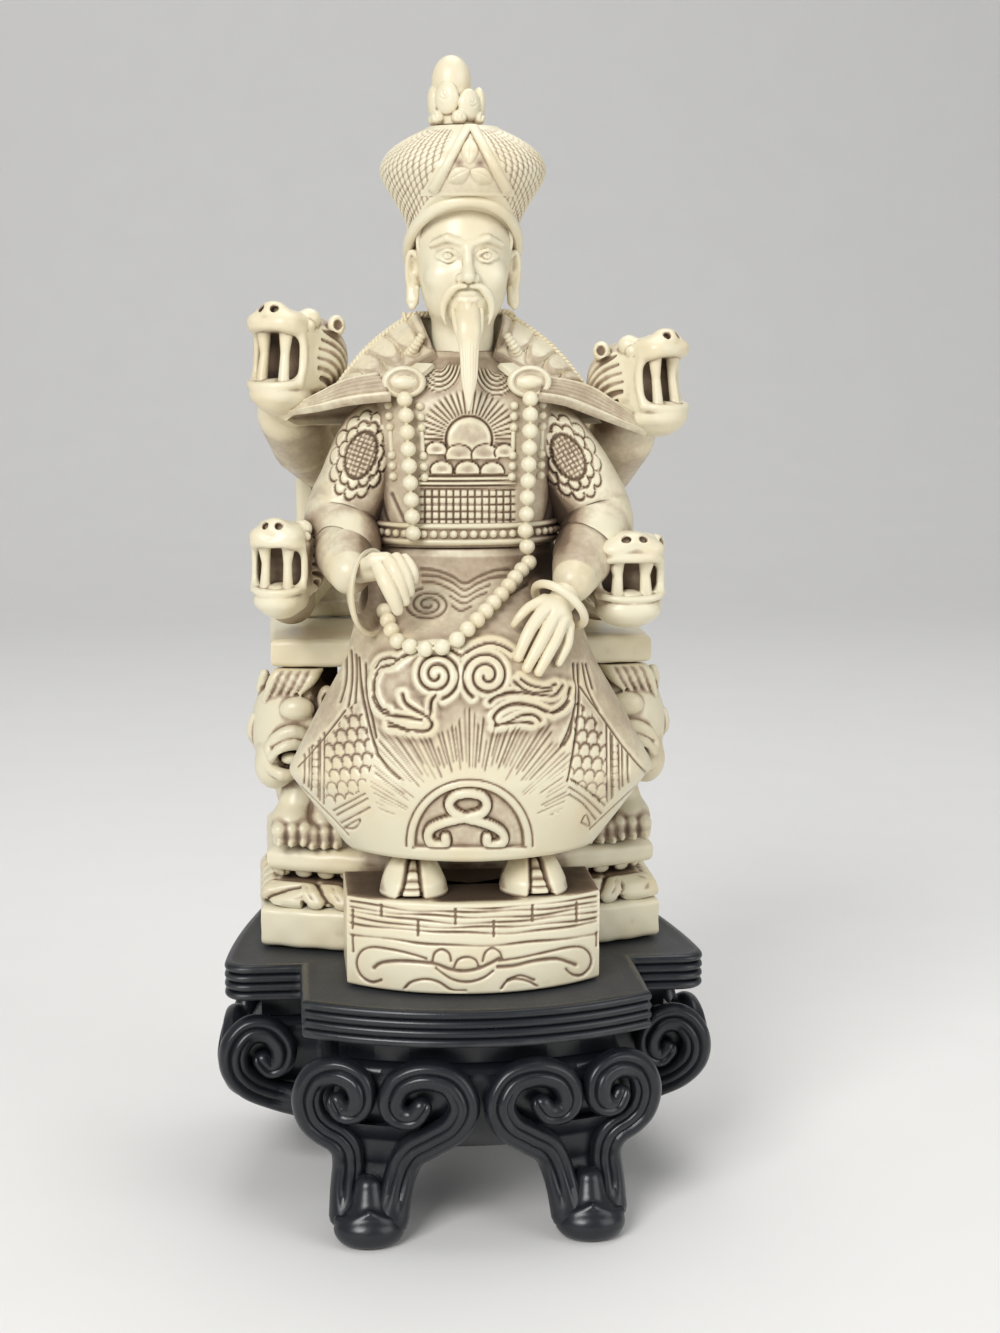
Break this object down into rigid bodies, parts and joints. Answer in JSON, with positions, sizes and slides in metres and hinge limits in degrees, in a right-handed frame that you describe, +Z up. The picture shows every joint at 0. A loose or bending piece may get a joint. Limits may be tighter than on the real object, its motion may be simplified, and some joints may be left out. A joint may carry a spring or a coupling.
{
  "type": "seated emperor figurine on stand",
  "caption": "Ivory-coloured robed emperor figurine seated on a lion throne with beast heads and footstool, lifting off a black stand with scrolled legs.",
  "frame": {"origin": "on the surface that the stand rests on, under the middle of the object", "axes": "+Z up along the figure, -Y is the way the figure faces, +X to the viewer's right"},
  "size_m": [0.1111, 0.0969, 0.2506],
  "materials": {
    "ivory_resin": "satin cast resin with brown patina in the carving",
    "black_lacquer": "black satin lacquer",
    "dowel_wood": "plain turned wood"
  },
  "bodies": {
    "stand": {"leg_front_left": "black_lacquer", "leg_front_right": "black_lacquer", "leg_rear_left": "black_lacquer", "leg_rear_right": "black_lacquer", "side_scrolls_left": "black_lacquer", "side_scrolls_right": "black_lacquer", "stand_apron": "black_lacquer", "stand_top": "black_lacquer", "stand_waist": "black_lacquer"},
    "figure": {"arm_head_left": "ivory_resin", "arm_head_right": "ivory_resin", "armrest_left": "ivory_resin", "armrest_right": "ivory_resin", "back_collar": "ivory_resin", "back_head_left": "ivory_resin", "back_head_right": "ivory_resin", "bead_strand_left": "ivory_resin", "bead_strand_right": "ivory_resin", "beard": "ivory_resin", "belt": "ivory_resin", "boot_left": "ivory_resin", "boot_right": "ivory_resin", "cape": "ivory_resin", "clasp_left": "ivory_resin", "clasp_right": "ivory_resin", "cuff_left": "ivory_resin", "cuff_right": "ivory_resin", "finial_dowel": "dowel_wood", "footstool": "ivory_resin", "guardian_lion_left": "ivory_resin", "guardian_lion_right": "ivory_resin", "hand_left": "ivory_resin", "hand_right": "ivory_resin", "hat_band": "ivory_resin", "hat_crown": "ivory_resin", "hat_finial": "ivory_resin", "hat_plaque": "ivory_resin", "head": "ivory_resin", "locating_peg_left": "dowel_wood", "locating_peg_right": "dowel_wood", "lotus_moulding": "ivory_resin", "neck_dowel": "dowel_wood", "robe_skirt": "ivory_resin", "seat_riser": "ivory_resin", "seat_slab": "ivory_resin", "sleeve_left": "ivory_resin", "sleeve_right": "ivory_resin", "throne_back": "ivory_resin", "throne_deck": "ivory_resin", "throne_plinth": "ivory_resin", "torso": "ivory_resin"}
  },
  "joints": [
    {"name": "figure_lift", "type": "slide", "parent": "stand", "child": "figure", "axis": [0, 0, 1], "range_m": [0, 0.02]}
  ]
}
